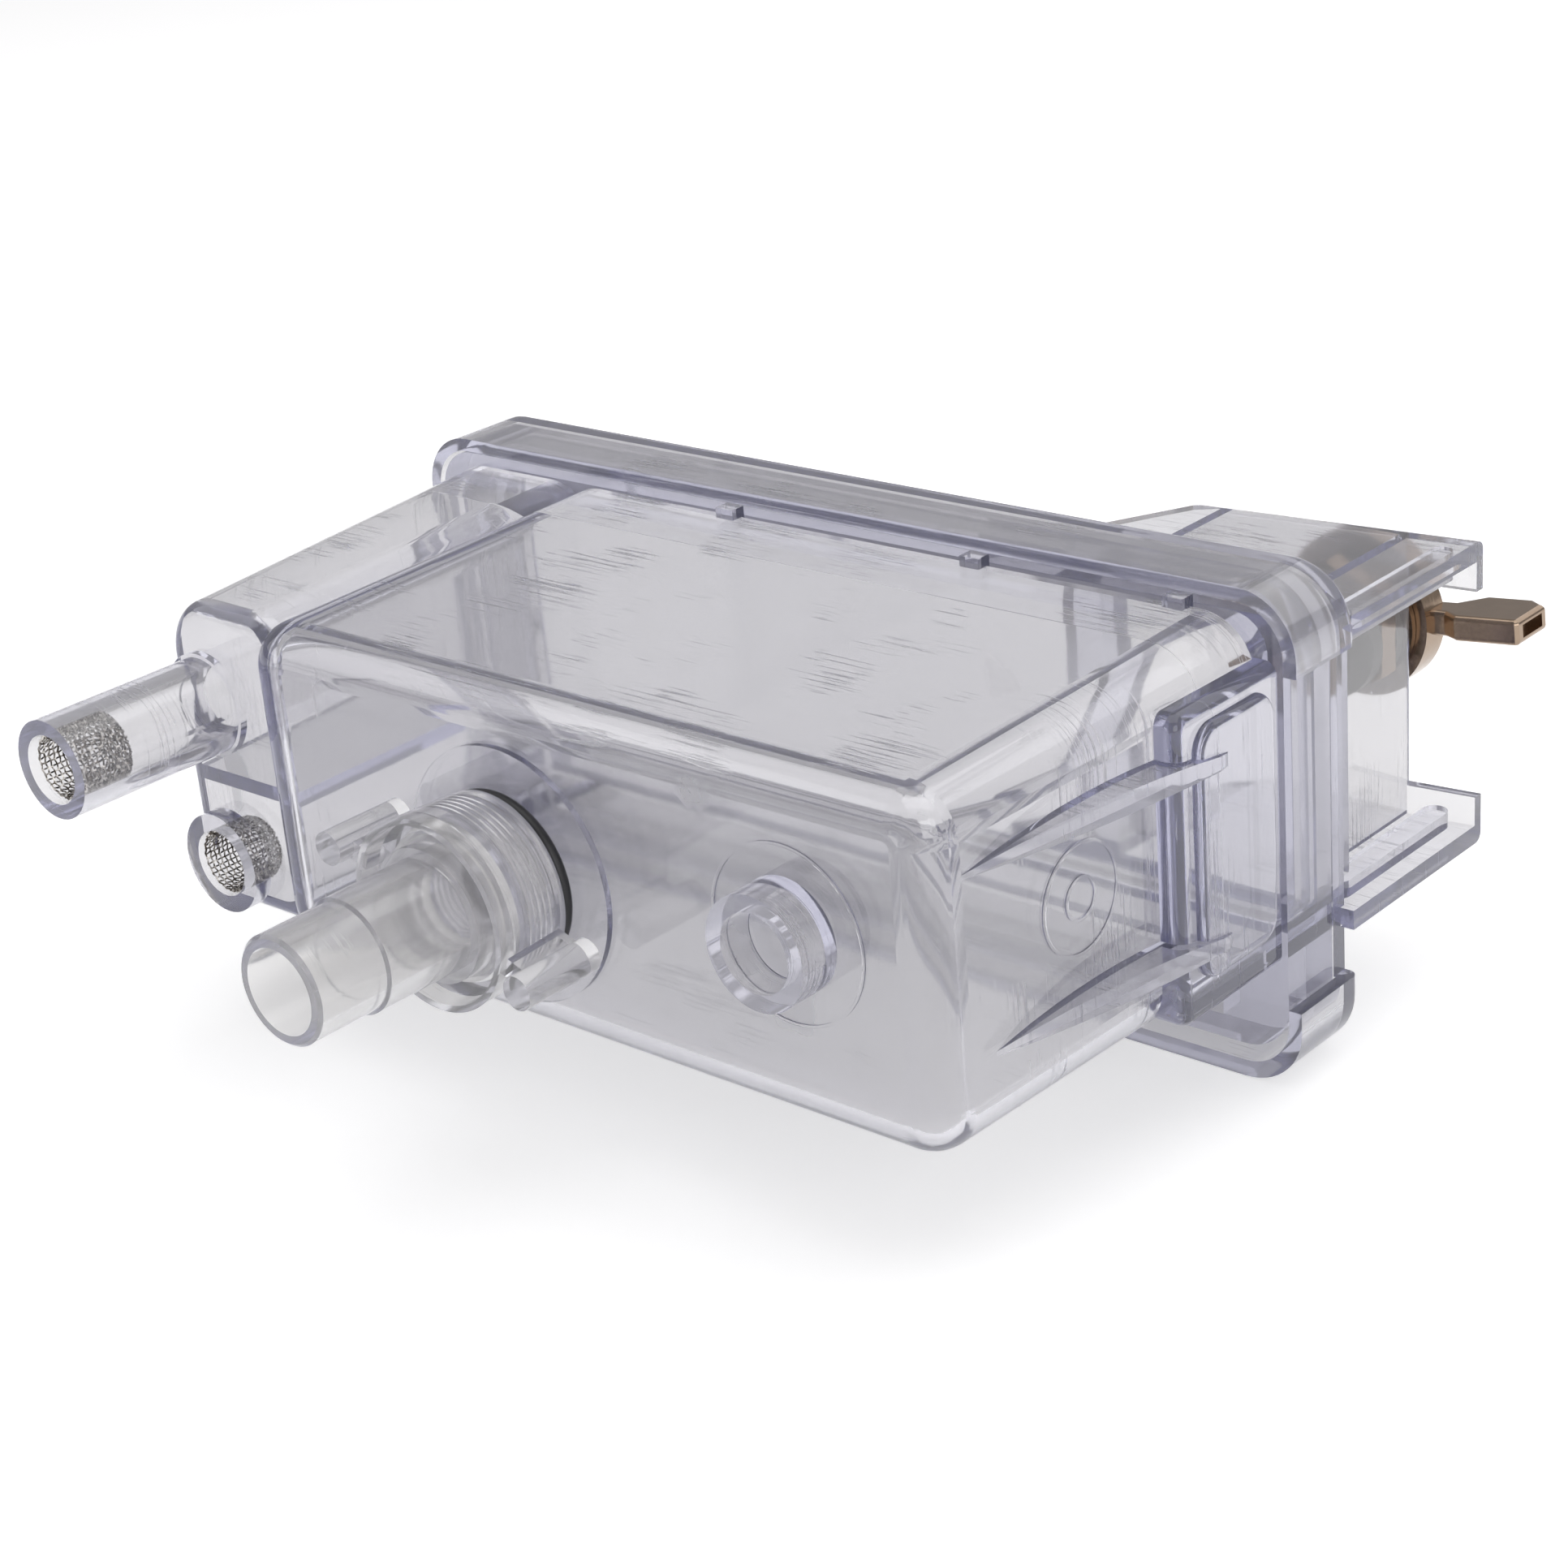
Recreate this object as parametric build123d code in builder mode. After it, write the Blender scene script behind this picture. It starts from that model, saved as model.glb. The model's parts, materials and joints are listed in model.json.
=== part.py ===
from build123d import *
import math
import os

# A small clear feed-water tank lying on its broad side. +X runs along the tank's length, +Y from
# its bottom face to its lid, +Z up through its thickness. In use the lid (+Y) is uppermost.
# The origin is at the centre of the footprint, on the lowest surface. Millimetres.

# Tank shell
bottom_y = -44.0
mouth_y = 25.5
rim_y = 37.7
inner_mouth_y = 14.0
mouth_step = 0.3
wall = 2.5
main_left = -53.75
main_right = 74.75
main_low = 17.9
main_high = 69.3
draft_growth = 1.4
main_corner_radius = 8.5
bottom_edge_radius = 6.2
inner_corner_radius = 5.5
inner_bottom_radius = 3.6

# Overflow chamber, outside the partition on the left
chamber_bottom_y = -39.6
chamber_left_bottom = -76.9
chamber_left_mouth = -82.0
chamber_low_bottom = 18.6
chamber_high_bottom = 68.5
chamber_corner_radius = 9.5
chamber_edge_radius = 3.0
chamber_overlap = 6.0
partition_thickness = 3.6
partition_inset = 0.3
divider_z = 39.6
divider_thickness = 2.4
divider_top_y = -2.0

# Hose tails moulded on the overflow chamber
tail_x = -68.5
long_tail_z = 52.6
long_tail_end_y = -69.4
long_tail_radius = 7.7
long_tail_bore = 5.4
long_tail_root_radius = 8.3
long_tail_root_height = 1.2
short_tail_z = 26.9
short_tail_end_y = -42.6
short_tail_radius = 8.1
short_tail_bore = 5.4

# Rim flange round the mouth
flange_near_y = 26.2
flange_left = -84.2
flange_right = 80.2
flange_low = 5.0
flange_high = 72.3
flange_corner_radius = 7.5
foot_wall = 2.6
foot_groove_left = -72.0
foot_groove_right = 68.0
pip_width = 3.4
pip_length = 2.6

# Stepped block, raised pad and gussets on the right wall
block_face_x = 79.2
block_start_y = 2.2
block_low = 19.0
block_high = 64.8
pad_face_x = 80.6
pad_start_y = 5.6
pad_end_y = 24.0
pad_low = 25.0
pad_high = 62.4
gusset_face_x = 81.4
gusset_end_y = 12.0
wall_mark_y = -14.8
wall_mark_z = 45.5

# Outlet
outlet_x = 0.0
outlet_z = 42.6
outlet_pad_radius = 19.0
outlet_pad_height = 1.0
neck_radius = 11.0
neck_bore = 6.2
neck_end_y = -54.5
neck_thread_y = -48.0
thread_pitch = 1.0
thread_depth = 0.45
hose_tail_end_y = -86.3
hose_tail_radius = 8.35
hose_tail_tip_radius = 7.9
hose_tail_step_y = -74.4
hose_tail_bore = 6.2
hose_tail_flange_radius = 10.4
hose_tail_flange_thickness = 1.4
hose_tail_end_chamfer = 0.5
collar_front_y = -60.2
collar_back_y = -47.4
collar_radius = 13.5
collar_rim_radius = 14.1
collar_floor_thickness = 1.1
collar_hub_radius = 9.9
collar_lip_thickness = 1.0
collar_wing_angle = -20.0
collar_wing_reach = 18.6
collar_wing_bite = 0.4
collar_wing_setback = 1.3
collar_web_thickness = 3.0
collar_web_width = 10.2
collar_bar_radius = 2.5
o_ring_radius = 12.1
o_ring_thickness = 2.0

# Closed boss beside the outlet
boss_x = 50.75
boss_z = 46.2
boss_radius = 8.2
boss_end_y = -50.6
boss_wall = 2.5
boss_mark_radius = 12.7
mark_half_width = 0.2
mark_height = 0.25

# Lid
lid_near_y = 25.7
lid_inner_y = 38.0
lid_outer_y = 41.0
lid_left = -86.75
lid_right = 82.6
lid_low = 0.0
lid_high = 74.7
lid_corner_radius = 9.5
lid_edge_radius = 1.6
skirt_thickness = 2.1
plug_depth = 5.0
plug_gap = 0.65
plug_thickness = 1.85
side_window_low = 12.5
side_window_high = 63.0

# Bracket on the lid
bracket_far_y = 76.0
bracket_right = 82.4
bracket_left = 20.0
pedestal_left = 34.0
pedestal_right = 78.0
pedestal_height = 5.0
pedestal_corner_radius = 6.0
plate_thickness = 3.0
top_plate_z = 64.5
bottom_plate_z = 19.7
lip_height = 7.6
bend_radius = 1.5
lip_thickness = 1.8
dome_left = 40.0
dome_right = 71.5
dome_wall = 1.8
dome_corner_radius = 3.0

# Inlet stem and wing nut, on one axis parallel to Y
stem_x = 60.75
stem_z = 51.0
stem_radius = 5.0
stem_bore = 2.2
stem_far_y = 84.8
stem_inner_y = 55.0
stem_end_chamfer = 0.6
hex_across_flats = 16.8
stem_gap = 0.3
hex_thickness = 3.8
washer_radius = 8.6
seal_thickness = 2.0
backing_thickness = 2.6
nut_washer_radius = 10.0
nut_washer_thickness = 1.0
nut_washer_gap = 0.05
stem_pitch = 1.5
stem_thread_depth = 0.5
nut_base_radius = 11.8
nut_tip_radius = 7.4
nut_height = 6.9
nut_side_height = 5.2
nut_turn = -4.1
nut_end_chamfer = 0.8
wing_reach = 26.4
wing_far_y = 88.0
wing_near_y = 77.1
wing_thickness = 4.0
wing_edge_radius = 0.9
blade_recess_depth = 1.6
blade_recess_half_height = 1.0

# Mesh screens inside the two tails
screen_thickness = 0.5
screen_end_radius = 1.6
overflow_screen_inset = 1.4
vent_screen_inset = 0.8
screen_length = 9.6

running_gap = 0.06
seat_gap = 0.1
bite = 1.0


def across(y):
    """Plane across the tank at y: its x is +X, its y is +Z, and it extrudes towards -Y."""
    return Plane(origin=(0, y, 0), x_dir=(1, 0, 0), z_dir=(0, -1, 0))


def panel(x_low, x_high, z_low, z_high, radius):
    """Rounded rectangle between two lengths and two heights."""
    with Locations(((x_low + x_high) / 2, (z_low + z_high) / 2)):
        RectangleRounded(x_high - x_low, z_high - z_low, radius)


def block(x_low, x_high, y_low, y_high, z_low, z_high, mode=Mode.ADD):
    """Box between its limits."""
    middle = ((x_low + x_high) / 2, (y_low + y_high) / 2, (z_low + z_high) / 2)
    with Locations(middle):
        Box(x_high - x_low, y_high - y_low, z_high - z_low, mode=mode)


def disc(x, z, radius, y_far, y_near, mode=Mode.ADD):
    """Cylinder parallel to Y, from y_far down to y_near."""
    with Locations((x, (y_far + y_near) / 2, z)):
        Cylinder(radius, y_far - y_near, rotation=(90, 0, 0), mode=mode)


def ring(x, z, outer, inner, y_far, y_near, mode=Mode.ADD):
    """Tube parallel to Y, from y_far down to y_near."""
    with BuildSketch(across(y_far), mode=Mode.PRIVATE) as section:
        with Locations((x, z)):
            Circle(outer)
            Circle(inner, mode=Mode.SUBTRACT)
    extrude(section.sketch, amount=y_far - y_near, mode=mode)


def ridge_points(crest, root, y_start, y_end, pitch):
    """Zigzag of a thread's section, as (radius, y) points from y_start to y_end."""
    turns = int(abs(y_end - y_start) / pitch)
    step = math.copysign(pitch, y_end - y_start)
    points = []
    for turn in range(turns):
        points.append((crest, y_start + step * turn))
        points.append((root, y_start + step * (turn + 0.5)))
    points.append((crest, y_start + step * turns))
    return points


# Draft of the main chamber, and where its inside walls stand at the inner mouth
draft = math.degrees(math.atan(draft_growth / (mouth_y - bottom_y)))
grown = draft_growth * (inner_mouth_y - bottom_y) / (mouth_y - bottom_y)
inner_right = main_right + grown - wall
inner_low = main_low - grown + wall
inner_high = main_high + grown - wall
inner_left = main_left - grown + partition_thickness
chamber_slope = (chamber_left_bottom - chamber_left_mouth) / (mouth_y - chamber_bottom_y)
chamber_wall = wall - partition_inset


def chamber_left_at(y):
    """Outside of the overflow chamber's left wall at y."""
    return chamber_left_bottom - chamber_slope * (y - chamber_bottom_y)


mouth_left = chamber_left_at(inner_mouth_y) + chamber_wall


def wall_pad(y_low, y_high, z_low, z_high, face_x, corner_radius, edge_radius):
    """Pad standing on the right wall, rounded at its corners and round its face."""
    with BuildPart(mode=Mode.PRIVATE) as pad:
        with BuildSketch(Plane.YZ.offset(main_right - wall)) as outline:
            with Locations(((y_low + y_high) / 2, (z_low + z_high) / 2)):
                RectangleRounded(y_high - y_low, z_high - z_low, corner_radius)
        extrude(outline.sketch, amount=face_x - main_right + wall)
        fillet(pad.faces().sort_by(Axis.X)[-1].edges(), edge_radius)
    return pad.part


def gusset(start_y, start_z):
    """Fin on the right wall: pointed where it starts, thick and blunt at the block."""
    end_y = gusset_end_y
    middle_y = (start_y + end_y) / 2
    with BuildPart(mode=Mode.PRIVATE) as fin:
        with BuildSketch(Plane.XY.offset(start_z - 6)) as side_view:
            with BuildLine():
                ThreePointArc((main_right, start_y), (gusset_face_x - 2.2, middle_y - 1.5),
                              (gusset_face_x, end_y - 3))
                Polyline((gusset_face_x, end_y - 3), (gusset_face_x - 0.4, end_y - 0.6),
                         (gusset_face_x - 1.8, end_y + 1.4), (main_right - 2, end_y + 1.4),
                         (main_right - 2, start_y), (main_right, start_y))
            make_face()
        extrude(side_view.sketch, amount=12)
        with BuildSketch(Plane.YZ.offset(main_right - 3)) as front_view:
            with BuildLine():
                ThreePointArc((start_y - 0.2, start_z), (middle_y + 4, start_z + 1.7),
                              (end_y + 1, start_z - 0.7))
                Polyline((end_y + 1, start_z - 0.7), (end_y + 1.6, start_z - 1.6),
                         (end_y + 1, start_z - 2.3), (start_y - 0.2, start_z - 0.5),
                         (start_y - 0.2, start_z))
            make_face()
        extrude(front_view.sketch, amount=12, mode=Mode.INTERSECT)
    return fin.part


with BuildPart() as tank_body:
    # Main chamber outside, with draft towards the bottom face
    with BuildSketch(across(mouth_y)):
        panel(main_left - draft_growth, main_right + draft_growth,
              main_low - draft_growth, main_high + draft_growth, main_corner_radius)
    extrude(amount=mouth_y - bottom_y, taper=draft)
    fillet(tank_body.faces().sort_by(Axis.Y)[0].edges(), bottom_edge_radius)
    # Overflow chamber outside
    with BuildSketch(across(chamber_bottom_y)):
        panel(chamber_left_bottom, main_left + chamber_overlap, chamber_low_bottom,
              chamber_high_bottom, chamber_corner_radius)
    with BuildSketch(across(mouth_y)):
        panel(chamber_left_mouth, main_left + chamber_overlap, main_low - draft_growth,
              main_high + draft_growth, chamber_corner_radius)
    loft()
    chamber_edges = tank_body.faces().filter_by(Plane.XZ).filter_by_position(
        Axis.Y, chamber_bottom_y - seat_gap, chamber_bottom_y + seat_gap).edges()
    fillet(chamber_edges.filter_by_position(Axis.X, chamber_left_mouth, main_left - bite),
           chamber_edge_radius)
    # Hose tails of the overflow chamber
    disc(tail_x, long_tail_z, long_tail_radius, chamber_bottom_y + wall, long_tail_end_y)
    disc(tail_x, long_tail_z, long_tail_root_radius, chamber_bottom_y + wall,
         chamber_bottom_y - long_tail_root_height)
    disc(tail_x, short_tail_z, short_tail_radius, chamber_bottom_y + wall, short_tail_end_y)
    # Rim flange, with a deeper foot on its lower side
    with BuildSketch(across(rim_y)):
        panel(flange_left, flange_right, flange_low, flange_high, flange_corner_radius)
    extrude(amount=rim_y - flange_near_y)
    # Stepped block, its raised pad and the two gussets on the right wall
    add(wall_pad(block_start_y, rim_y - wall, block_low, block_high, block_face_x, 2.4, 2.0))
    add(wall_pad(pad_start_y, pad_end_y, pad_low, pad_high, pad_face_x, 4.0, 1.3))
    for gusset_y, gusset_z in ((-38.5, 57.8), (-34.0, 31.2)):
        add(gusset(gusset_y, gusset_z))
    # Small pips at the foot of the rim
    for pip_x in (-18.0, 29.3, 64.3):
        block(pip_x - pip_width / 2, pip_x + pip_width / 2, flange_near_y - pip_length,
              flange_near_y + bite, main_high - bite, flange_high)
    # Outlet pad and neck, closed boss, and the marks round them
    disc(outlet_x, outlet_z, outlet_pad_radius, bottom_y + bite, bottom_y - outlet_pad_height)
    with BuildSketch(Plane.XY.offset(outlet_z)):
        with BuildLine():
            Polyline([(outlet_x, bottom_y + bite), (outlet_x + neck_radius, bottom_y + bite)]
                     + [(outlet_x + radius, y) for radius, y in
                        ridge_points(neck_radius, neck_radius - thread_depth,
                                     neck_thread_y, neck_end_y, thread_pitch)]
                     + [(outlet_x, neck_end_y)], close=True)
        make_face()
    revolve(axis=Axis((outlet_x, 0, outlet_z), (0, 1, 0)))
    disc(boss_x, boss_z, boss_radius, bottom_y + bite, boss_end_y)
    ring(boss_x, boss_z, boss_mark_radius + mark_half_width, boss_mark_radius - mark_half_width,
         bottom_y + bite, bottom_y - mark_height)
    # Ring marks on the right wall
    for mark_radius in (3.0, 7.8):
        with BuildSketch(Plane.YZ.offset(main_right - bite)):
            with Locations((wall_mark_y, wall_mark_z)):
                Circle(mark_radius + mark_half_width)
                Circle(mark_radius - mark_half_width, mode=Mode.SUBTRACT)
        extrude(amount=bite + draft_growth * (wall_mark_y - bottom_y) / (mouth_y - bottom_y)
                + mark_height)
    # Hollow main chamber
    with BuildPart(mode=Mode.SUBTRACT) as main_hollow:
        with BuildSketch(across(inner_mouth_y)):
            panel(inner_left, inner_right, inner_low, inner_high, inner_corner_radius)
        extrude(amount=inner_mouth_y - bottom_y - wall, taper=draft)
        fillet(main_hollow.faces().sort_by(Axis.Y)[0].edges(), inner_bottom_radius)
    # Hollow overflow chamber
    with BuildSketch(across(chamber_bottom_y + wall)):
        panel(chamber_left_bottom + chamber_wall, main_left - partition_inset,
              chamber_low_bottom + wall, chamber_high_bottom - wall, inner_corner_radius)
    with BuildSketch(across(inner_mouth_y)):
        panel(mouth_left, inner_left - partition_thickness, inner_low, inner_high,
              inner_corner_radius)
    loft(mode=Mode.SUBTRACT)
    # Common mouth above the partition's overflow edge
    with BuildSketch(across(rim_y)):
        panel(mouth_left - mouth_step, inner_right + mouth_step, inner_low - mouth_step,
              inner_high + mouth_step, inner_corner_radius + mouth_step)
    extrude(amount=rim_y - inner_mouth_y, mode=Mode.SUBTRACT)
    # Groove in the back of the rim's deeper foot
    block(foot_groove_left, foot_groove_right, flange_near_y + 3.2, rim_y + bite,
          flange_low + foot_wall, inner_low - foot_wall - mouth_step, mode=Mode.SUBTRACT)
    # Divider between the two tails inside the overflow chamber
    with BuildSketch(Plane.XY.offset(divider_z - divider_thickness / 2)):
        with BuildLine():
            divider_bottom_y = chamber_bottom_y + bite
            Polyline((chamber_left_at(divider_bottom_y) + bite, divider_bottom_y),
                     (chamber_left_at(divider_top_y) + bite, divider_top_y),
                     (main_left - partition_inset / 2, divider_top_y),
                     (main_left - partition_inset / 2, divider_bottom_y), close=True)
        make_face()
    extrude(amount=divider_thickness)
    # Bores
    disc(outlet_x, outlet_z, neck_bore, bottom_y + 2 * wall, neck_end_y - bite,
         mode=Mode.SUBTRACT)
    disc(tail_x, long_tail_z, long_tail_bore, chamber_bottom_y + 2 * wall,
         long_tail_end_y - bite, mode=Mode.SUBTRACT)
    disc(tail_x, short_tail_z, short_tail_bore, chamber_bottom_y + 4 * wall,
         short_tail_end_y - bite, mode=Mode.SUBTRACT)
    disc(boss_x, boss_z, boss_radius - boss_wall, bottom_y - outlet_pad_height,
         boss_end_y - bite, mode=Mode.SUBTRACT)


# Outline of one bracket plate, with its slanted left end
bracket_turn_x = 39.8
bracket_turn_y = 71.8
bracket_slant = (bracket_far_y - bracket_turn_y) / (bracket_right - bracket_turn_x)
bracket_corners = [(bracket_left, lid_outer_y - bite), (36.6, 69.6),
                   (bracket_turn_x, bracket_turn_y), (bracket_right, bracket_far_y),
                   (bracket_right, lid_outer_y - bite)]

with BuildPart() as lid:
    # Plate and skirt
    with BuildSketch(across(lid_outer_y)):
        panel(lid_left, lid_right, lid_low, lid_high, lid_corner_radius)
    extrude(amount=lid_outer_y - lid_near_y)
    fillet(lid.faces().sort_by(Axis.Y)[-1].edges(), lid_edge_radius)
    with BuildSketch(across(lid_inner_y)):
        panel(lid_left + skirt_thickness, lid_right - skirt_thickness, foot_wall,
              lid_high - skirt_thickness, lid_corner_radius - skirt_thickness)
    extrude(amount=lid_inner_y - lid_near_y + bite, mode=Mode.SUBTRACT)
    # The skirt leaves the right side of the rim open
    block(main_right, lid_right + bite, lid_near_y - bite, lid_inner_y, side_window_low,
          side_window_high, mode=Mode.SUBTRACT)
    block(flange_right, lid_right + bite, lid_inner_y - bite, lid_outer_y + bite,
          side_window_low, side_window_high, mode=Mode.SUBTRACT)
    # Plug that enters the mouth
    plug_edge = plug_gap - mouth_step
    plug_radius = inner_corner_radius + mouth_step - plug_gap
    hole_edge = plug_edge + plug_thickness
    with BuildSketch(across(lid_inner_y + bite / 2)):
        panel(mouth_left + plug_edge, inner_right - plug_edge, inner_low + plug_edge,
              inner_high - plug_edge, plug_radius)
    extrude(amount=plug_depth + bite / 2)
    with BuildSketch(across(lid_inner_y)):
        panel(mouth_left + hole_edge, inner_right - hole_edge, inner_low + hole_edge,
              inner_high - hole_edge, plug_radius - plug_thickness)
    extrude(amount=plug_depth + bite, mode=Mode.SUBTRACT)
    # Pedestal under the bracket
    with BuildSketch(across(lid_outer_y + pedestal_height)):
        panel(pedestal_left, pedestal_right, bottom_plate_z + bite / 2,
              top_plate_z + plate_thickness - bite / 2, pedestal_corner_radius)
    extrude(amount=pedestal_height + bite)
    # Bracket plates with inward lips
    for plate_z in (bottom_plate_z, top_plate_z):
        with BuildSketch(Plane.XY.offset(plate_z)):
            with BuildLine():
                Polyline(bracket_corners, close=True)
            make_face()
        extrude(amount=plate_thickness)
    lip_near_y = bracket_far_y - lip_thickness
    lip_left = dome_right - bite
    lip_shift = bracket_slant * (bracket_right - lip_left)
    for lip_z in (bottom_plate_z, top_plate_z + plate_thickness - lip_height):
        with BuildSketch(Plane.XY.offset(lip_z)):
            with BuildLine():
                Polyline((lip_left, lip_near_y - lip_shift), (bracket_right, lip_near_y),
                         (bracket_right, bracket_far_y),
                         (lip_left, bracket_far_y - lip_shift), close=True)
            make_face()
        extrude(amount=lip_height)
    # Rounded far edges, where the plates turn into their lips
    for outer_z, inward in ((bottom_plate_z, 1), (top_plate_z + plate_thickness, -1)):
        with BuildSketch(Plane.YZ.offset(bracket_right)):
            with Locations((bracket_far_y, outer_z)):
                Rectangle(2 * bend_radius, 2 * bend_radius)
            with Locations((bracket_far_y - bend_radius, outer_z + inward * bend_radius)):
                Circle(bend_radius, mode=Mode.SUBTRACT)
        extrude(amount=bracket_right - bracket_left, dir=(-1, -bracket_slant, 0),
                mode=Mode.SUBTRACT)
    # Dome between the plates, rounded at its far corners
    with BuildSketch(Plane.XY.offset(bottom_plate_z + bite)) as dome_outline:
        with Locations(((dome_left + dome_right) / 2, (lid_outer_y - bite + bracket_far_y) / 2)):
            Rectangle(dome_right - dome_left, bracket_far_y - lid_outer_y + bite)
        fillet(dome_outline.vertices().sort_by(Axis.Y)[-2:], dome_corner_radius)
    extrude(amount=top_plate_z - bottom_plate_z)
    # Stiffening beads inside both plates
    for bead_z, bead_thickness, bead_x, bead_length, bead_width in (
            (bottom_plate_z + plate_thickness - bite / 2, 3.1, 77.4, 31, 4),
            (top_plate_z - 2.2, 2.7, 78.6, 30, 3.2)):
        with BuildSketch(Plane.XY.offset(bead_z)):
            with Locations((bead_x, (lid_outer_y + bracket_far_y) / 2 - bite)):
                SlotOverall(bead_length, bead_width, rotation=90)
        extrude(amount=bead_thickness)
    # Hollow dome, open to the tank
    block(dome_left + dome_wall, dome_right - dome_wall, lid_inner_y - bite,
          bracket_far_y - dome_wall, bottom_plate_z + plate_thickness, top_plate_z,
          mode=Mode.SUBTRACT)
    # Hole for the inlet stem
    disc(stem_x, stem_z, stem_radius + stem_gap, bracket_far_y + bite,
         bracket_far_y - dome_wall - bite, mode=Mode.SUBTRACT)


def screen_cup(x, z, outer, y_near):
    """Thin mesh cup, closed at its inner (+Y) end."""
    y_far = y_near + screen_length
    with BuildPart() as cup:
        disc(x, z, outer, y_far, y_near)
        fillet(cup.edges().group_by(Axis.Y)[-1], screen_end_radius)
        disc(x, z, outer - screen_thickness, y_far - screen_thickness, y_near - bite,
             mode=Mode.SUBTRACT)
    return cup


overflow_screen = screen_cup(tail_x, long_tail_z, long_tail_bore - seat_gap,
                             long_tail_end_y + overflow_screen_inset)
vent_screen = screen_cup(tail_x, short_tail_z, short_tail_bore - seat_gap,
                         short_tail_end_y + vent_screen_inset)

with BuildPart() as outlet_hose_tail:
    flange_far_y = neck_end_y - seat_gap
    flange_front_y = flange_far_y - hose_tail_flange_thickness
    tip_step = hose_tail_radius - hose_tail_tip_radius
    with BuildSketch(Plane.XY.offset(outlet_z)):
        with BuildLine():
            Polyline((hose_tail_bore, flange_far_y), (hose_tail_flange_radius, flange_far_y),
                     (hose_tail_flange_radius, flange_front_y), (hose_tail_radius, flange_front_y),
                     (hose_tail_radius, hose_tail_step_y),
                     (hose_tail_tip_radius, hose_tail_step_y - tip_step + 0.05),
                     (hose_tail_tip_radius, hose_tail_end_y + hose_tail_end_chamfer),
                     (hose_tail_tip_radius - hose_tail_end_chamfer, hose_tail_end_y),
                     (hose_tail_bore, hose_tail_end_y), close=True)
        make_face()
    revolve(axis=Axis((outlet_x, 0, outlet_z), (0, 1, 0)))

with BuildPart() as outlet_collar_nut:
    # A threaded cup: floor, hub round the tail, and a lip that leaves a ring-shaped recess
    collar_inner = neck_radius + running_gap
    hub_inner = hose_tail_radius + running_gap
    collar_floor_y = flange_front_y - seat_gap
    recess_y = collar_floor_y - collar_floor_thickness
    with BuildSketch(Plane.XY.offset(outlet_z)):
        with BuildLine():
            Polyline([(hub_inner, collar_front_y),
                      (collar_hub_radius, collar_front_y),
                      (collar_hub_radius, recess_y),
                      (collar_rim_radius - collar_lip_thickness - 0.2, recess_y),
                      (collar_rim_radius - collar_lip_thickness, collar_front_y),
                      (collar_rim_radius, collar_front_y),
                      (collar_radius, collar_back_y),
                      (collar_inner, collar_back_y)]
                     + ridge_points(collar_inner, collar_inner + thread_depth,
                                    neck_thread_y, neck_end_y, thread_pitch)
                     + [(collar_inner, collar_floor_y),
                        (hub_inner, collar_floor_y)], close=True)
        make_face()
    revolve(axis=Axis((outlet_x, 0, outlet_z), (0, 1, 0)))
    # Two finger wings, each a web with a round bar along its outer edge
    web_length = collar_wing_reach - collar_radius + collar_wing_bite
    web_middle = collar_wing_reach - web_length / 2
    for wing_angle in (collar_wing_angle, collar_wing_angle + 180):
        direction = (math.cos(math.radians(wing_angle)), math.sin(math.radians(wing_angle)))
        with BuildSketch(across(collar_back_y - collar_wing_setback)):
            with Locations(Location((outlet_x + direction[0] * web_middle,
                                     outlet_z + direction[1] * web_middle), wing_angle)):
                Rectangle(web_length, collar_web_thickness)
        extrude(amount=collar_web_width)
        disc(outlet_x + direction[0] * collar_wing_reach,
             outlet_z + direction[1] * collar_wing_reach, collar_bar_radius,
             collar_back_y - collar_wing_setback / 2, collar_front_y - collar_wing_setback)

with BuildPart() as outlet_o_ring:
    o_ring_y = bottom_y - outlet_pad_height - o_ring_thickness / 2 - running_gap
    with BuildSketch(Plane.XY.offset(outlet_z)):
        with Locations((outlet_x + o_ring_radius, o_ring_y)):
            Circle(o_ring_thickness / 2)
    revolve(axis=Axis((outlet_x, 0, outlet_z), (0, 1, 0)))

# Stack on the inlet stem, from the inside out: backing washer, hexagon, sealing washer,
# dome wall, plain washer, wing nut
wall_inner_y = bracket_far_y - dome_wall
seal_near_y = wall_inner_y - seat_gap - seal_thickness
hex_far_y = seal_near_y - seat_gap
hex_near_y = hex_far_y - hex_thickness
backing_far_y = hex_near_y - seat_gap
nut_washer_near_y = bracket_far_y + nut_washer_gap
hub_near_y = nut_washer_near_y + nut_washer_thickness + seat_gap
stem_foot_radius = stem_radius - 1.0

with BuildPart() as inlet_stem:
    disc(stem_x, stem_z, stem_foot_radius, hex_far_y, stem_inner_y)
    with BuildSketch(across(hex_far_y)):
        with Locations((stem_x, stem_z)):
            RegularPolygon(hex_across_flats / 2, 6, major_radius=False, rotation=30)
    extrude(amount=hex_thickness)
    with BuildSketch(Plane.XY.offset(stem_z)):
        with BuildLine():
            Polyline([(stem_x, hex_near_y), (stem_x + stem_radius, hex_near_y)]
                     + [(stem_x + radius, y) for radius, y in
                        ridge_points(stem_radius, stem_radius - stem_thread_depth,
                                     wall_inner_y + 0.7, stem_far_y - stem_end_chamfer,
                                     stem_pitch)]
                     + [(stem_x + stem_radius - stem_end_chamfer, stem_far_y),
                        (stem_x, stem_far_y)], close=True)
        make_face()
    revolve(axis=Axis((stem_x, 0, stem_z), (0, 1, 0)))
    disc(stem_x, stem_z, stem_bore, stem_far_y + bite, stem_inner_y - bite,
         mode=Mode.SUBTRACT)

with BuildPart() as inlet_seal_washer:
    ring(stem_x, stem_z, washer_radius, stem_radius + seat_gap, wall_inner_y - seat_gap,
         seal_near_y)

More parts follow.
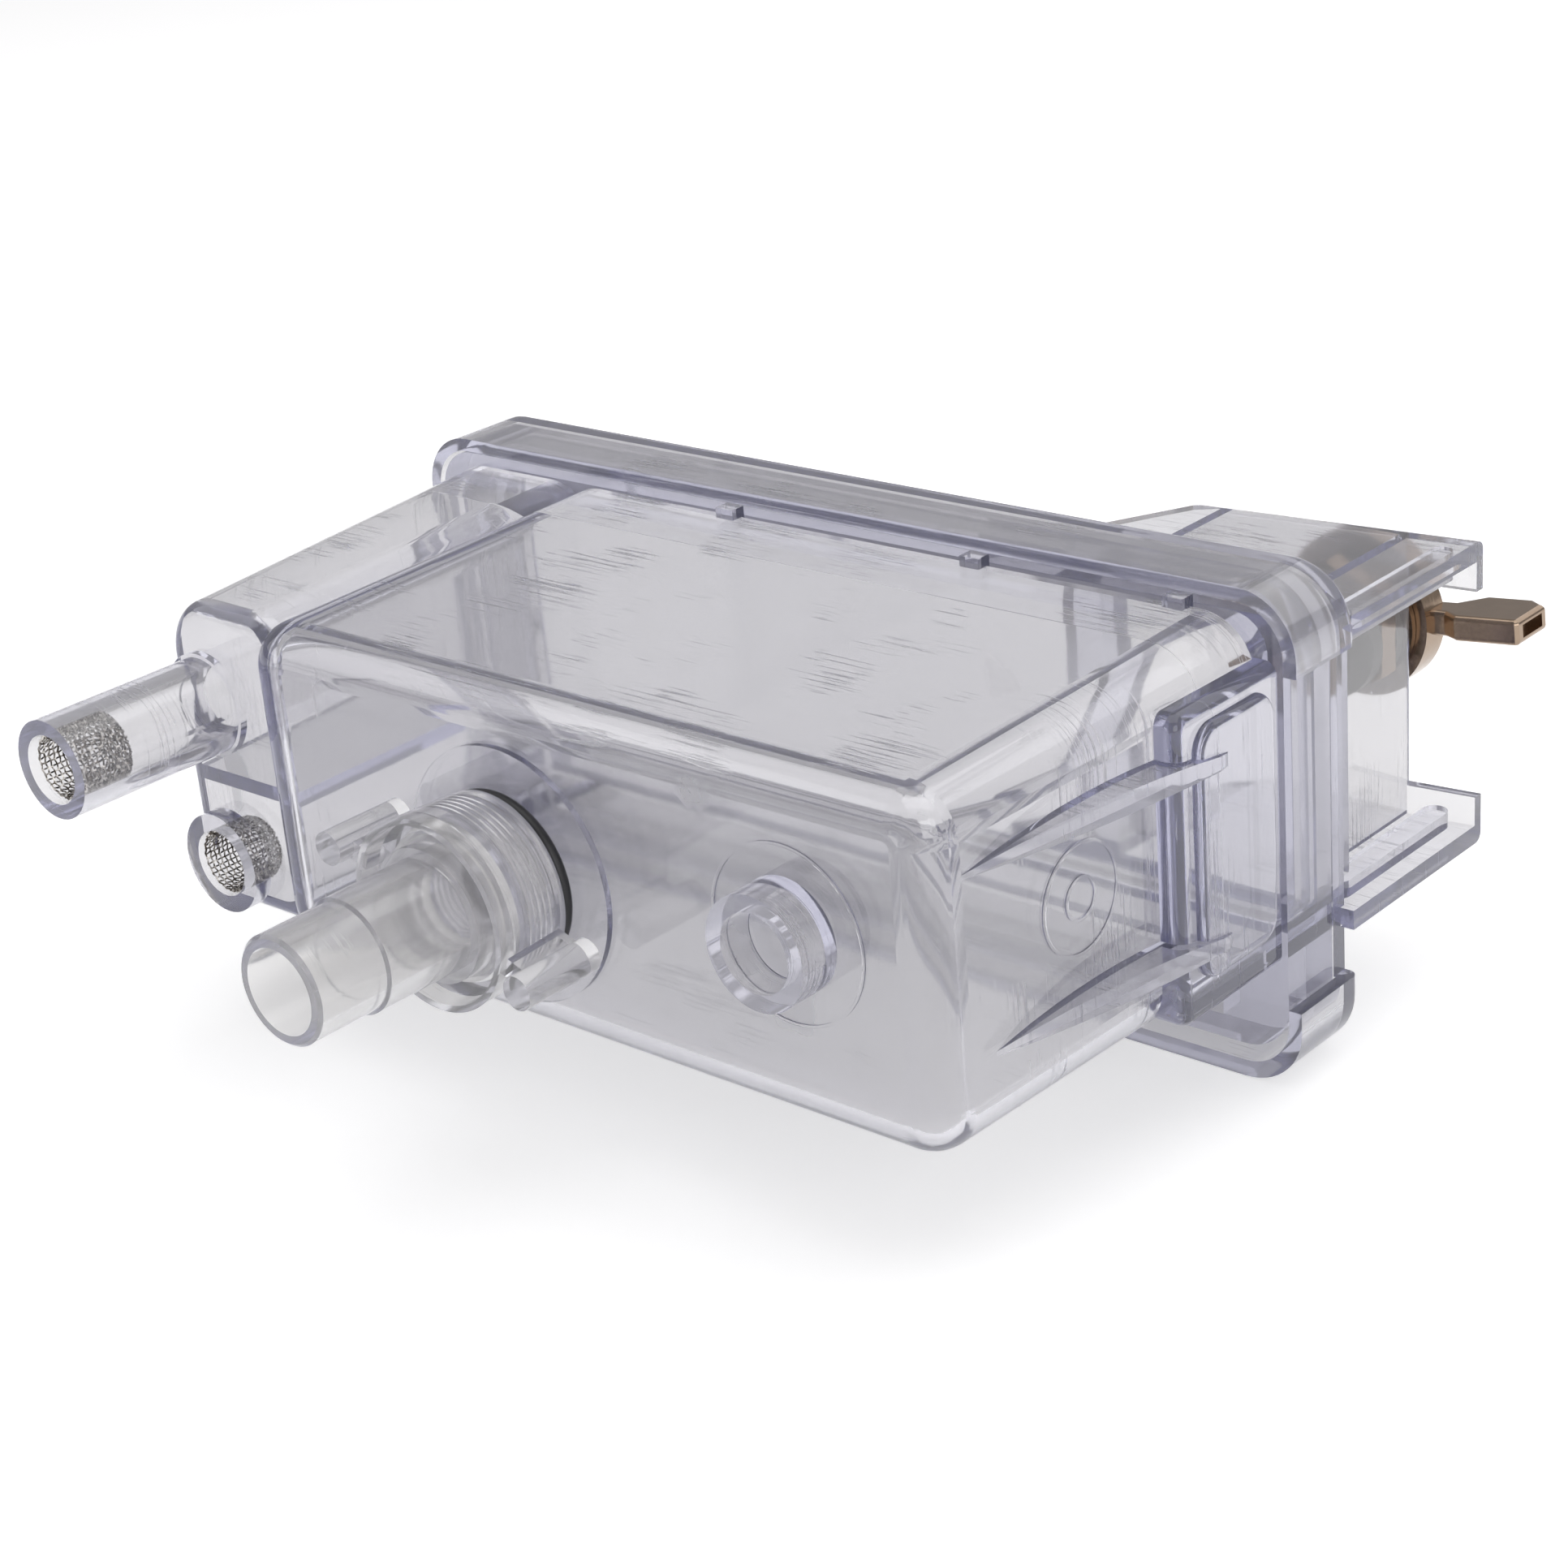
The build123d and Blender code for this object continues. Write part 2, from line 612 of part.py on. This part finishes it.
with BuildPart() as inlet_backing_washer:
    ring(stem_x, stem_z, washer_radius, stem_foot_radius + seat_gap, backing_far_y,
         backing_far_y - backing_thickness)

with BuildPart() as nut_washer:
    ring(stem_x, stem_z, nut_washer_radius, stem_radius + running_gap,
         nut_washer_near_y + nut_washer_thickness, nut_washer_near_y)

with BuildPart() as wing_nut:
    # Two blades, narrow at the hub and wide at the tip
    for side in (-1, 1):
        blade_root = stem_x + side * 6.0
        blade_tip = stem_x + side * wing_reach
        with BuildSketch(Plane.XY.offset(stem_z - wing_thickness / 2)):
            with BuildLine():
                Polyline((blade_root, hub_near_y + 1.1),
                         (stem_x + side * 14.0, hub_near_y + 1.3),
                         (stem_x + side * 16.4, wing_near_y),
                         (blade_tip - side * 0.5, wing_near_y + 0.8),
                         (blade_tip, wing_near_y + 1.4),
                         (blade_tip, wing_far_y - 1.8),
                         (blade_tip - side * 2.6, wing_far_y),
                         (stem_x + side * 16.6, wing_far_y - 0.6),
                         (stem_x + side * 13.4, wing_far_y - 4.4),
                         (blade_root, wing_far_y - 5.0), close=True)
            make_face()
        extrude(amount=wing_thickness)
    blade_rims = wing_nut.faces().filter_by(Plane.XY).edges()
    fillet(blade_rims, wing_edge_radius)
    # Round hub that narrows away from the washer
    with BuildSketch(Plane.XY.offset(stem_z)):
        with BuildLine():
            Polyline((stem_x, hub_near_y), (stem_x + nut_base_radius, hub_near_y),
                     (stem_x + nut_base_radius, hub_near_y + nut_side_height),
                     (stem_x + nut_tip_radius, hub_near_y + nut_height - nut_end_chamfer),
                     (stem_x + nut_tip_radius - nut_end_chamfer, hub_near_y + nut_height),
                     (stem_x, hub_near_y + nut_height), close=True)
        make_face()
    revolve(axis=Axis((stem_x, 0, stem_z), (0, 1, 0)))
    disc(stem_x, stem_z, stem_radius + running_gap, wing_far_y + bite, hub_near_y - bite,
         mode=Mode.SUBTRACT)
    # Recess in each blade's end
    for side in (-1, 1):
        blade_tip = stem_x + side * wing_reach
        block(blade_tip - blade_recess_depth, blade_tip + blade_recess_depth,
              wing_near_y + 2.4, wing_far_y - 2.8, stem_z - blade_recess_half_height,
              stem_z + blade_recess_half_height, mode=Mode.SUBTRACT)

wing_nut.part = wing_nut.part.rotate(Axis((stem_x, 0, stem_z), (0, 1, 0)), nut_turn)

pieces = {
    "tank_body": tank_body,
    "lid": lid,
    "overflow_screen": overflow_screen,
    "vent_screen": vent_screen,
    "outlet_hose_tail": outlet_hose_tail,
    "outlet_collar_nut": outlet_collar_nut,
    "outlet_o_ring": outlet_o_ring,
    "inlet_stem": inlet_stem,
    "inlet_seal_washer": inlet_seal_washer,
    "inlet_backing_washer": inlet_backing_washer,
    "nut_washer": nut_washer,
    "wing_nut": wing_nut,
}

os.makedirs("parts", exist_ok=True)
for name, piece in pieces.items():
    piece.part.label = name
    export_step(piece.part, f"parts/{name}.step")
    box = piece.part.bounding_box()
    print(name, "solids", len(piece.part.solids()), "volume", round(piece.part.volume, 1),
          "x", round(box.min.X, 2), round(box.max.X, 2), "y", round(box.min.Y, 2),
          round(box.max.Y, 2), "z", round(box.min.Z, 2), round(box.max.Z, 2))
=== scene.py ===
import json
import math
import bpy
import bmesh
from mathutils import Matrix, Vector


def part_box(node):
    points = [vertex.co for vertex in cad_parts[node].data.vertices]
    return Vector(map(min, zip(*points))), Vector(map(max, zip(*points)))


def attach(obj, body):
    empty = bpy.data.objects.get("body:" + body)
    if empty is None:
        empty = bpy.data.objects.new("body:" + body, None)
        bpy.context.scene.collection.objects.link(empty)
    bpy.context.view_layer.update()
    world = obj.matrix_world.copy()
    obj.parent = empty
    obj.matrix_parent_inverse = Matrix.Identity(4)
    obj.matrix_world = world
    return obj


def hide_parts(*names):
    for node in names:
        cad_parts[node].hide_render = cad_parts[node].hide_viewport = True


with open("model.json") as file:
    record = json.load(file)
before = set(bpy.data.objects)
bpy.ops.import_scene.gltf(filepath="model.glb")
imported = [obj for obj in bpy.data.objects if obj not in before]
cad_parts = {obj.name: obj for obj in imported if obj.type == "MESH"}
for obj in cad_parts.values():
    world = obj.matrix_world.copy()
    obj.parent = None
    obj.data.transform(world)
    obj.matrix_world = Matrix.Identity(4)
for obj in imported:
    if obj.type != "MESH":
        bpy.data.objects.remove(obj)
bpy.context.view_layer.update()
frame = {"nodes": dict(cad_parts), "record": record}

record = frame["record"]
nodes = frame["nodes"]
MM = 0.001


# Materials ------------------------------------------------------------------------------------

def new_material(name):
    """A material with an empty node tree and its Principled shader and output."""
    material = bpy.data.materials.new(name)
    material.use_nodes = True
    tree = material.node_tree
    tree.nodes.clear()
    output = tree.nodes.new("ShaderNodeOutputMaterial")
    shader = tree.nodes.new("ShaderNodeBsdfPrincipled")
    tree.links.new(shader.outputs["BSDF"], output.inputs["Surface"])
    return material, tree, shader, output


def object_coordinates(tree, scale=(1, 1, 1), turn=(0, 0, 0)):
    """Object coordinates, scaled and turned."""
    source = tree.nodes.new("ShaderNodeTexCoord")
    mapping = tree.nodes.new("ShaderNodeMapping")
    mapping.inputs["Scale"].default_value = scale
    mapping.inputs["Rotation"].default_value = turn
    tree.links.new(source.outputs["Object"], mapping.inputs["Vector"])
    return mapping.outputs["Vector"]


def noise(tree, vector, scale, detail=2.0, distortion=0.0):
    """Noise in the given coordinates."""
    node = tree.nodes.new("ShaderNodeTexNoise")
    node.inputs["Scale"].default_value = scale
    node.inputs["Detail"].default_value = detail
    node.inputs["Distortion"].default_value = distortion
    tree.links.new(vector, node.inputs["Vector"])
    return node.outputs["Fac"]


def spread(tree, value, low, high, to_low, to_high):
    """Value taken from one range to another, and clamped to it."""
    node = tree.nodes.new("ShaderNodeMapRange")
    node.inputs["From Min"].default_value = low
    node.inputs["From Max"].default_value = high
    node.inputs["To Min"].default_value = to_low
    node.inputs["To Max"].default_value = to_high
    tree.links.new(value, node.inputs["Value"])
    return node.outputs["Result"]


def calculate(tree, operation, first, second):
    """Math node on two values, each a socket or a number."""
    node = tree.nodes.new("ShaderNodeMath")
    node.operation = operation
    for socket, value in zip(node.inputs, (first, second)):
        if isinstance(value, (int, float)):
            socket.default_value = value
        else:
            tree.links.new(value, socket)
    return node.outputs["Value"]


# Sockets of a colour Mix node, whose names repeat for its other data types
MIX_FIRST, MIX_SECOND, MIX_RESULT = 6, 7, 2


def mix_colors(tree, factor, first, second):
    """Colour between two fixed colours, by a factor."""
    node = tree.nodes.new("ShaderNodeMix")
    node.data_type = "RGBA"
    node.inputs[MIX_FIRST].default_value = (*first, 1)
    node.inputs[MIX_SECOND].default_value = (*second, 1)
    tree.links.new(factor, node.inputs["Factor"])
    return node.outputs[MIX_RESULT]


def shaded(color, factor):
    """Colour made darker or lighter."""
    return [min(value * factor, 1.0) for value in color]


def bump(tree, shader, height, strength, distance):
    """Bump on the shader from a height."""
    node = tree.nodes.new("ShaderNodeBump")
    node.inputs["Strength"].default_value = strength
    node.inputs["Distance"].default_value = distance
    tree.links.new(height, node.inputs["Height"])
    tree.links.new(node.outputs["Normal"], shader.inputs["Normal"])


def scratches(tree, turn, length_scale, width_scale, cut):
    """Thin scratches in one direction, in patches: stretched noise, cut to its highest lines."""
    vector = object_coordinates(tree, (length_scale, width_scale, length_scale), (0, 0, turn))
    lines = noise(tree, vector, 1.0, 4.0, 0.4)
    patches = noise(tree, object_coordinates(tree), 60.0)
    return calculate(tree, "MULTIPLY", spread(tree, lines, cut, cut + 0.05, 0.0, 1.0),
                     spread(tree, patches, 0.5, 0.62, 0.0, 1.0))


# Depth of the surface marks in plastic and rubber, and in metal, in metres
moulded_depth = 0.00008
metal_depth = 0.0001

# Clear plastic: its base colour, the faint painted glow (an even emission over the whole surface)
# that stands for light scattered inside it, its refractive index, and how far its flow marks rise
# and its scratches sink
film_tint = (0.895, 0.889, 0.874)
painted_glow_color = (0.86, 0.86, 1.0)
painted_glow_strength = 0.012
plastic_ior = 1.57
flow_height = 0.45
scuff_height = -0.2


def clear_plastic(name, haze, tint, density, roughness, wear):
    """Clear moulded plastic: slight tint that shows at thick edges, faint flow marks, scratches."""
    material, tree, shader, output = new_material(name)
    shader.inputs["Base Color"].default_value = (*film_tint, 1)
    shader.inputs["Transmission Weight"].default_value = 1.0 - haze
    # Painted glow: a faint, even, bluish emission over the whole surface, standing for light
    # scattered inside the plastic
    shader.inputs["Emission Color"].default_value = (*painted_glow_color, 1)
    shader.inputs["Emission Strength"].default_value = painted_glow_strength
    material.cycles.emission_sampling = "NONE"
    shader.inputs["IOR"].default_value = plastic_ior
    scuffs = calculate(
        tree, "ADD",
        scratches(tree, turn=0.5, length_scale=40, width_scale=1400, cut=0.62),
        scratches(tree, turn=-0.9, length_scale=50, width_scale=1700, cut=0.63))
    flow = noise(tree, object_coordinates(tree), 70.0, 1.0)
    rough = spread(tree, scuffs, 0.0, 1.0, roughness, roughness + wear)
    tree.links.new(rough, shader.inputs["Roughness"])
    waves = calculate(tree, "MULTIPLY", flow, flow_height)
    height = calculate(tree, "ADD", calculate(tree, "MULTIPLY", scuffs, scuff_height), waves)
    bump(tree, shader, height, 1.0, moulded_depth)
    absorption = tree.nodes.new("ShaderNodeVolumeAbsorption")
    absorption.inputs["Color"].default_value = (*tint, 1)
    absorption.inputs["Density"].default_value = density
    tree.links.new(absorption.outputs["Volume"], output.inputs["Volume"])
    return material


def metal(name, color, roughness, grain, grain_scale):
    """Metal with fine roughness variation and small pits."""
    material, tree, shader, output = new_material(name)
    shader.inputs["Metallic"].default_value = 1.0
    cloud = noise(tree, object_coordinates(tree), 220.0, 3.0)
    tree.links.new(mix_colors(tree, cloud, shaded(color, 0.82), shaded(color, 1.12)),
                   shader.inputs["Base Color"])
    fine = noise(tree, object_coordinates(tree), grain_scale, 3.0)
    tree.links.new(spread(tree, fine, 0.3, 0.7, roughness * 0.7, roughness * 1.4),
                   shader.inputs["Roughness"])
    bump(tree, shader, fine, grain, metal_depth)
    return material


def wire_metal(name, dark, bright):
    """Woven wire: metal painted in small random specks of dark brown and bright grey, as painted
    shade and painted glints for the weave's dark gaps and highlights.
    """
    material, tree, shader, output = new_material(name)
    shader.inputs["Metallic"].default_value = 1.0
    shader.inputs["Roughness"].default_value = 0.3
    # Painted shade and painted glints: noise specks swap the base colour between dark brown and
    # bright grey, standing for shade in the weave's gaps and its highlights
    spots = noise(tree, object_coordinates(tree), 1600.0, 2.0)
    painted_shade_and_glint = spread(tree, spots, 0.42, 0.60, 0.0, 1.0)
    tree.links.new(mix_colors(tree, painted_shade_and_glint, dark, bright), shader.inputs["Base Color"])
    bump(tree, shader, spots, 0.4, metal_depth)
    return material


def rubber(name, color, roughness):
    """Rubber with a dusty mottle."""
    material, tree, shader, output = new_material(name)
    cloud = noise(tree, object_coordinates(tree), 500.0, 4.0)
    tree.links.new(mix_colors(tree, cloud, shaded(color, 0.85), shaded(color, 1.2)),
                   shader.inputs["Base Color"])
    tree.links.new(spread(tree, cloud, 0.3, 0.7, roughness - 0.08, roughness + 0.08),
                   shader.inputs["Roughness"])
    bump(tree, shader, cloud, 0.3, moulded_depth)
    return material


edge_tint = (0.60, 0.605, 0.76)
materials = {
    "clear_tank": clear_plastic("clear_tank", haze=0.06, tint=edge_tint, density=75.0,
                                roughness=0.05, wear=0.35),
    "clear_lid": clear_plastic("clear_lid", haze=0.08, tint=edge_tint, density=80.0,
                               roughness=0.08, wear=0.25),
    "clear_fitting": clear_plastic("clear_fitting", haze=0.11, tint=edge_tint, density=32.0,
                                   roughness=0.10, wear=0.15),
    # The wire's dark and bright colours are its painted shade and painted glints
    "steel_mesh": wire_metal("steel_mesh", dark=(0.10, 0.085, 0.07), bright=(0.72, 0.69, 0.65)),
    "black_rubber": rubber("black_rubber", (0.018, 0.018, 0.02), roughness=0.42),
    "grey_rubber": rubber("grey_rubber", (0.19, 0.185, 0.18), roughness=0.45),
    "bronze": metal("bronze", (0.36, 0.27, 0.20), roughness=0.16, grain=0.1,
                    grain_scale=1500.0),
}

for subpart in record["subparts"]:
    mesh = nodes[subpart["node"]].data
    mesh.materials.clear()
    mesh.materials.append(materials[subpart["material_slot"]])


# Woven screens --------------------------------------------------------------------------------

def middle_of(node):
    """Centre of a CAD node's box."""
    low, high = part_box(node)
    return (Vector(low) + Vector(high)) / 2


# Direction that no wire follows, which sets out each wire's cross-section
aside = Vector((0.31, 0.17, 0.93))


def add_wire(shape, points, radius, closed):
    """Thin four-sided wire through the points."""
    sides = 4
    rings = []
    count = len(points)
    for index, point in enumerate(points):
        before = points[index - 1] if index > 0 or closed else point
        after = points[(index + 1) % count] if index < count - 1 or closed else point
        along = (after - before).normalized()
        across = along.cross(aside).normalized()
        third = along.cross(across)
        ring = []
        for side in range(sides):
            angle = math.tau * side / sides
            ring.append(shape.verts.new(point + radius * (across * math.cos(angle)
                                                          + third * math.sin(angle))))
        rings.append(ring)
    pairs = list(zip(rings, rings[1:]))
    if closed:
        pairs.append((rings[-1], rings[0]))
    for first, second in pairs:
        for side in range(sides):
            following = (side + 1) % sides
            shape.faces.new((first[side], first[following], second[following], second[side]))
    if not closed:
        shape.faces.new(rings[0][::-1])
        shape.faces.new(rings[-1])


# Screens: how far the wires lie inside the CAD cup, their spacing, thickness and rounded end
screen_wall = 0.25 * MM
screen_pitch = 0.85 * MM
wire = 0.32 * MM
shoulder = 1.6 * MM
shoulder_steps = 3


def woven_cup(name, node):
    """Cup of woven wire along Y: rings and lengthwise wires, and a woven disc at the far end."""
    low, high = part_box(node)
    centre = middle_of(node)
    radius = (high[0] - low[0]) / 2 - screen_wall
    open_y = low[1] + wire
    end_y = high[1] - screen_wall
    straight_y = end_y - shoulder
    around = 2 * round(math.pi * radius / screen_pitch)
    rows = round((straight_y - open_y) / screen_pitch)
    lift = wire * 0.55
    shape = bmesh.new()

    def place(y, distance, angle):
        return Vector((centre.x + distance * math.cos(angle), y,
                       centre.z + distance * math.sin(angle)))

    def wave(row, column):
        return lift if (row + column) % 2 else -lift

    for row in range(rows + 1):
        y = open_y + (straight_y - open_y) * row / rows
        points = []
        for column in range(around):
            angle = math.tau * column / around
            points.append(place(y, radius + wave(row, column), angle))
        add_wire(shape, points, wire / 2, True)
    for column in range(around):
        angle = math.tau * column / around
        points = []
        for row in range(rows + 1):
            y = open_y + (straight_y - open_y) * row / rows
            points.append(place(y, radius - wave(row, column), angle))
        for step in range(1, shoulder_steps + 1):
            bend = math.pi / 2 * step / shoulder_steps
            points.append(place(straight_y + shoulder * math.sin(bend),
                                radius - shoulder * (1 - math.cos(bend)), angle))
        add_wire(shape, points, wire / 2, False)
    disc_radius = radius - shoulder * 0.8
    lines = int(disc_radius / screen_pitch)
    for turned in (False, True):
        for line in range(-lines, lines + 1):
            offset = line * screen_pitch
            reach = math.sqrt(max(disc_radius ** 2 - offset ** 2, 0.0))
            steps = max(2, int(2 * reach / screen_pitch))
            points = []
            for step in range(steps + 1):
                run = -reach + 2 * reach * step / steps
                side = lift if (line + round(run / screen_pitch) + turned) % 2 else -lift
                across_x = run if turned else offset
                across_z = offset if turned else run
                points.append(Vector((centre.x + across_x, end_y + side,
                                      centre.z + across_z)))
            add_wire(shape, points, wire / 2, False)
    mesh = bpy.data.meshes.new(name)
    shape.to_mesh(mesh)
    shape.free()
    mesh.materials.append(materials["steel_mesh"])
    cup = bpy.data.objects.new(name, mesh)
    bpy.context.scene.collection.objects.link(cup)
    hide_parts(node)
    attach(cup, "tank")


for screen in ("overflow", "vent"):
    woven_cup(screen + "_mesh_cup", screen + "_screen")


# Stage ----------------------------------------------------------------------------------------

floor_half_width = 60.0
floor_glow = 0.46
floor_drop = 0.0003


def floor():
    """Large pale floor, just below the object."""
    mesh = bpy.data.meshes.new("floor")
    shape = bmesh.new()
    bmesh.ops.create_grid(shape, x_segments=1, y_segments=1, size=floor_half_width)
    shape.to_mesh(mesh)
    shape.free()
    material, tree, shader, output = new_material("floor")
    shade = noise(tree, object_coordinates(tree), 3.0)
    tree.links.new(mix_colors(tree, shade, (0.88, 0.88, 0.885), (0.90, 0.90, 0.90)),
                   shader.inputs["Base Color"])
    shader.inputs["Roughness"].default_value = 0.9
    shader.inputs["Emission Color"].default_value = (1, 1, 1, 1)
    shader.inputs["Emission Strength"].default_value = floor_glow
    mesh.materials.append(material)
    ground = bpy.data.objects.new("floor", mesh)
    ground.location = (0, 0, -floor_drop)
    bpy.context.scene.collection.objects.link(ground)


def area_light(name, place, aim, width, height, power):
    """Soft rectangular light aimed at a point."""
    data = bpy.data.lights.new(name, "AREA")
    data.shape = "RECTANGLE"
    data.size = width
    data.size_y = height
    data.energy = power
    light = bpy.data.objects.new(name, data)
    light.location = place
    light.rotation_euler = (Vector(aim) - Vector(place)).to_track_quat("-Z", "Y").to_euler()
    bpy.context.scene.collection.objects.link(light)


def surroundings(color, strength):
    """Even pale light from all round."""
    world = bpy.data.worlds.new("studio")
    world.use_nodes = True
    background = world.node_tree.nodes["Background"]
    background.inputs["Color"].default_value = (*color, 1)
    background.inputs["Strength"].default_value = strength
    bpy.context.scene.world = world


def camera(aim, azimuth, elevation, roll, distance, lens):
    """Camera looking at a point from an azimuth and elevation, in degrees."""
    a = math.radians(azimuth)
    e = math.radians(elevation)
    away = Vector((math.sin(a) * math.cos(e), -math.cos(a) * math.cos(e), math.sin(e)))
    data = bpy.data.cameras.new("camera")
    data.lens = lens
    data.sensor_width = 36.0
    data.clip_start = 0.01
    data.clip_end = 50.0
    eye = bpy.data.objects.new("camera", data)
    eye.location = Vector(aim) + away * distance
    turned = (-away).to_track_quat("-Z", "Y").to_matrix().to_4x4()
    spin = turned @ turned.Rotation(math.radians(roll), 4, "Z")
    eye.rotation_euler = spin.to_euler()
    bpy.context.scene.collection.objects.link(eye)
    bpy.context.scene.camera = eye


floor()
middle = (0, 0, 0.04)
for light_name, place, width, height, power in (
        ("overhead", (0.1, 0.1, 1.1), 1.2, 1.2, 5.0),
        ("left", (-0.9, -0.5, 0.6), 0.7, 0.7, 1.5),
        ("back", (0.2, 1.1, 0.7), 1.2, 0.6, 2.0),
        ("right", (0.75, -0.35, 0.35), 0.5, 0.5, 1.6)):
    area_light(light_name, place, middle, width, height, power)
surroundings(color=(0.99, 0.98, 0.99), strength=0.42)
camera(aim=(0.0152, -0.0040, 0.0442), azimuth=42.92, elevation=23.10, roll=-5.01,
       distance=0.44335, lens=70.9)

scene = bpy.context.scene
scene.view_settings.view_transform = "Standard"
scene.cycles.max_bounces = 20
scene.cycles.transmission_bounces = 20
scene.cycles.glossy_bounces = 12
scene.cycles.transparent_max_bounces = 16
